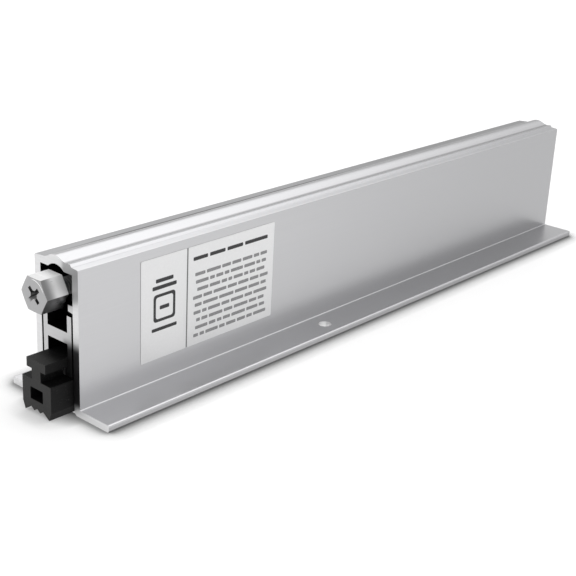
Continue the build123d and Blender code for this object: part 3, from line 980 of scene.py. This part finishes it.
class DOORSEAL_OT_rubber_seal(bpy.types.Operator):
    """Finish the seal as black extruded rubber"""

    bl_idname = "door_seal.rubber_seal"
    bl_label = "Rubber seal"

    def execute(self, context):
        dress(rubber_finish(context.scene.door_seal.rubber), "seal")
        return {"FINISHED"}


class DOORSEAL_OT_foil_label(bpy.types.Operator):
    """Make the two foil panels of the label, the backing between them and the printed bars"""

    bl_idname = "door_seal.foil_label"
    bl_label = "Foil label"

    def execute(self, context):
        settings = context.scene.door_seal.label
        foil_bm, backing_bm = label_panels(settings)
        foil = new_piece("label_panels", foil_bm, foil_finish(settings))
        # The backing between the panels is painted dark, as the shade in the gap.
        gap_shade_finish = ink_and_gap_shade_finish("label_backing", settings.gap_colour)
        backing = new_piece("label_backing", backing_bm, gap_shade_finish)
        fine_ink = ink_and_gap_shade_finish("label_fine_ink", settings.fine_ink_colour)
        lines = new_piece("label_lines", label_lines(settings), fine_ink)
        solid_ink = ink_and_gap_shade_finish("label_ink", settings.ink_colour)
        marks = new_piece("label_marks", label_marks(settings), solid_ink)
        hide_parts("label")
        for piece in (foil, backing, lines, marks):
            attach(piece, "housing")
        return {"FINISHED"}


class DOORSEAL_OT_plunger(bpy.types.Operator):
    """Make the hexagonal plunger with its cross recess and threaded shank"""

    bl_idname = "door_seal.plunger"
    bl_label = "Plunger"

    def execute(self, context):
        settings = context.scene.door_seal.plunger
        low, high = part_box("plunger")
        steel = turned_steel_finish(settings)
        head = new_piece("plunger_head", head_mesh(settings, low.x), steel)
        cutter = new_piece("recess_cutter", recess_mesh(settings, low.x), steel)
        cut_away(head, cutter)
        head.data.set_sharp_from_angle(angle=EDGE_ANGLE)
        edges = head.modifiers.new("edges", "BEVEL")
        edges.width = EDGE_WIDTH
        edges.segments = 2
        edges.angle_limit = EDGE_ANGLE
        edges.harden_normals = True
        shank_start = low.x + settings.head_length - SHANK_OVERLAP
        shank_bm = threaded_shank(settings, shank_start, high.x)
        shank = new_piece("plunger_shank", shank_bm, steel, SHANK_SHARP_ANGLE)
        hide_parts("plunger")
        for piece in (head, shank):
            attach(piece, "plunger")
        return {"FINISHED"}


class DOORSEAL_OT_return_spring(bpy.types.Operator):
    """Make the coil spring between the rear guide and the slide bar"""

    bl_idname = "door_seal.return_spring"
    bl_label = "Return spring"

    def execute(self, context):
        settings = context.scene.door_seal.spring
        low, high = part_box("return_spring")
        wire = plated_finish("spring_steel", settings.wire_colour, settings.roughness, WIRE_GRAIN)
        axis_height = (low.z + high.z) / 2
        coil = new_piece("spring_coil", coil_mesh(settings, low.x, high.x, axis_height), wire)
        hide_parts("return_spring")
        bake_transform(coil)
        return {"FINISHED"}


class DOORSEAL_OT_mechanism(bpy.types.Operator):
    """Finish the slide bar, brackets, pins, rivets, clips, guides and screws"""

    bl_idname = "door_seal.mechanism"
    bl_label = "Mechanism"

    def execute(self, context):
        settings = context.scene.door_seal.hardware
        sheet = plated_finish(
            "plated_steel", settings.plating_and_painted_light_colour, settings.plated_roughness, SHEET_GRAIN
        )
        pins = plated_finish("bright_steel", settings.pin_colour, settings.pin_roughness, WIRE_GRAIN)
        ring = plated_finish("ring_steel", settings.ring_colour, settings.ring_roughness, WIRE_GRAIN)
        nylon = plated_finish(
            "guide_nylon", settings.nylon_colour, settings.nylon_roughness, NYLON_GRAIN, metallic=0.0
        )
        dress(sheet, "slide_bar", "spring_washer", "adjuster_rivets")
        dress(sheet, "lift_bracket_front", "lift_bracket_rear")
        dress(sheet, "bracket_rivets_front", "bracket_rivets_rear")
        dress(sheet, "guide_screws_front", "guide_screws_rear")
        dress(pins, "lift_pin_front", "lift_pin_rear", "stop_pin")
        dress(ring, "pin_clip_front", "pin_clip_rear")
        dress(nylon, "adjuster_block", "guide_block_front", "guide_block_rear")
        return {"FINISHED"}


def camera_turn(azimuth, elevation, roll):
    """Rotation of a camera that looks at the part from an azimuth and an elevation."""
    a, e, r = math.radians(azimuth), math.radians(elevation), math.radians(roll)
    back = Vector((math.sin(a) * math.cos(e), -math.cos(a) * math.cos(e), math.sin(e)))
    level = Vector((0, 0, 1)).cross(back).normalized()
    upward = back.cross(level)
    right = level * math.cos(r) + upward * math.sin(r)
    up = upward * math.cos(r) - level * math.sin(r)
    return Matrix((right, up, back)).transposed()


def studio_world(settings):
    """A pale room with a light screen high over the far side, lower at the back."""
    world = bpy.data.worlds.new("studio_sky")
    g = Graph(world)
    direction = g.node("ShaderNodeTexCoord", output="Generated")
    x, y, z = g.split(direction)
    lift = 0.09 * y.ramp(*SCREEN_BACK) - 0.04 * x.ramp(*SCREEN_FAR)
    rise = (z + lift).ramp(*SCREEN_EDGE)
    high = settings.screen_level * (1 - settings.far_loss * x.ramp(*SCREEN_FADE))
    low = settings.low_level * (1 + settings.far_gain * x.ramp(*LOW_FAR))
    front_gain = 0.55 * x.band(*FRONT_NEAR) + 0.8 * x.ramp(*FRONT_FAR)
    low = low * (1 + y.band(*FRONT_EDGE) * front_gain)
    screen = low + rise * (high - low)
    level = settings.room_level + x.ramp(*ROOM_EDGE) * (screen - settings.room_level)
    shader = g.node("ShaderNodeBackground", inputs={"Color": (1, 1, 1, 1), "Strength": level})
    g.node("ShaderNodeOutputWorld", inputs={"Surface": shader})
    return world


def floor_finish(settings):
    """A pale table with a glow of its own and a faint tooth, with a contact shadow painted close round
    what stands on it.
    """
    material, g = new_finish("studio_floor")
    place = g.place()
    x, y, _ = place
    tooth = g.grain(0.0015, 0.0015, 0.0015, place)
    near = {"Distance": settings.contact_reach}
    samples = {"samples": OPENNESS_SAMPLES}
    openness = g.node("ShaderNodeAmbientOcclusion", samples, near, output=1)
    under = (abs(y) < UNDER_HALF_WIDTH) * (abs(x) < UNDER_HALF_LENGTH)
    rays = [g.node("ShaderNodeLightPath", output=name) for name in LIT_RAYS]
    # Painted contact shadow: near what stands on the floor its colour darkens and its glow fades, for
    # camera rays.
    contact = (1 - openness.math("POWER", settings.contact_power)) * (1 - under) * rays[0]
    contact = contact * (1 - x.band(*RAISED_END) * settings.raised_loss)
    paper = g.vary(tooth, settings.floor_colour, 0.995, 1.005)
    base = g.blend(contact, paper, opaque(settings.contact_colour))
    glow = opaque([settings.glow] * 3)
    seen = rays[0] + rays[1] + rays[2]
    lit = g.blend(seen * (1 - contact), (0.0, 0.0, 0.0, 1.0), glow)
    g.surface(
        {
            "Base Color": base,
            "Roughness": 0.9,
            "Specular IOR Level": 0.1,
            "Emission Color": lit,
            "Emission Strength": 1.0,
        }
    )
    return material


class DOORSEAL_OT_stage(bpy.types.Operator):
    """Lay the floor, hang the lamp and set up the sky and the camera"""

    bl_idname = "door_seal.stage"
    bl_label = "Studio"

    def execute(self, context):
        settings = context.scene.door_seal.studio
        scene = context.scene
        half = settings.floor_size / 2
        bm = bmesh.new()
        corners = [(-half, -half, 0), (half, -half, 0), (half, half, 0), (-half, half, 0)]
        bm.faces.new([bm.verts.new(corner) for corner in corners])
        bmesh.ops.subdivide_edges(bm, edges=bm.edges, cuts=FLOOR_CUTS, use_grid_fill=True)
        floor = new_piece("studio_floor", bm, floor_finish(settings))
        scene.world = studio_world(settings)
        key_data = bpy.data.lights.new("key_lamp", "AREA")
        key_data.shape = "RECTANGLE"
        key_data.size, key_data.size_y = KEY_WIDTH, KEY_HEIGHT
        key_data.energy = settings.key_power
        key = bpy.data.objects.new("key_lamp", key_data)
        key.location = KEY_PLACE
        key.rotation_euler = (KEY_AIM - KEY_PLACE).to_track_quat("-Z", "Y").to_euler()
        scene.collection.objects.link(key)
        view_data = bpy.data.cameras.new("photo_camera")
        view_data.lens = CAMERA_LENS
        view_data.sensor_width = CAMERA_SENSOR
        view_data.clip_start = CAMERA_CLIP
        camera = bpy.data.objects.new("photo_camera", view_data)
        turn = camera_turn(CAMERA_AZIMUTH, CAMERA_ELEVATION, CAMERA_ROLL)
        camera.matrix_world = Matrix.Translation(CAMERA_PLACE) @ turn.to_4x4()
        scene.collection.objects.link(camera)
        scene.camera = camera
        scene.view_settings.view_transform = "Standard"
        return {"FINISHED"}


class DOORSEAL_PT_panel(bpy.types.Panel):
    """Lists the steps that dress the door seal"""

    bl_idname = "DOORSEAL_PT_panel"
    bl_label = "Door seal"
    bl_space_type = "VIEW_3D"
    bl_region_type = "UI"
    bl_category = "Door seal"

    def draw(self, context):
        for operator in OPERATORS:
            self.layout.operator(operator.bl_idname)


SETTINGS = (
    AluminiumSettings,
    RubberSettings,
    LabelSettings,
    PlungerSettings,
    HardwareSettings,
    SpringSettings,
    StudioSettings,
    DoorSealSettings,
)
OPERATORS = (
    DOORSEAL_OT_extrusions,
    DOORSEAL_OT_rubber_seal,
    DOORSEAL_OT_foil_label,
    DOORSEAL_OT_plunger,
    DOORSEAL_OT_return_spring,
    DOORSEAL_OT_mechanism,
    DOORSEAL_OT_stage,
)


def register():
    for cls in SETTINGS + OPERATORS + (DOORSEAL_PT_panel,):
        bpy.utils.register_class(cls)
    bpy.types.Scene.door_seal = PointerProperty(type=DoorSealSettings)


def unregister():
    del bpy.types.Scene.door_seal
    for cls in reversed(SETTINGS + OPERATORS + (DOORSEAL_PT_panel,)):
        bpy.utils.unregister_class(cls)


def main():
    register()
    bpy.ops.door_seal.extrusions()
    bpy.ops.door_seal.rubber_seal()
    bpy.ops.door_seal.foil_label()
    bpy.ops.door_seal.plunger()
    bpy.ops.door_seal.return_spring()
    bpy.ops.door_seal.mechanism()
    bpy.ops.door_seal.stage()


if __name__ == "__main__":
    main()
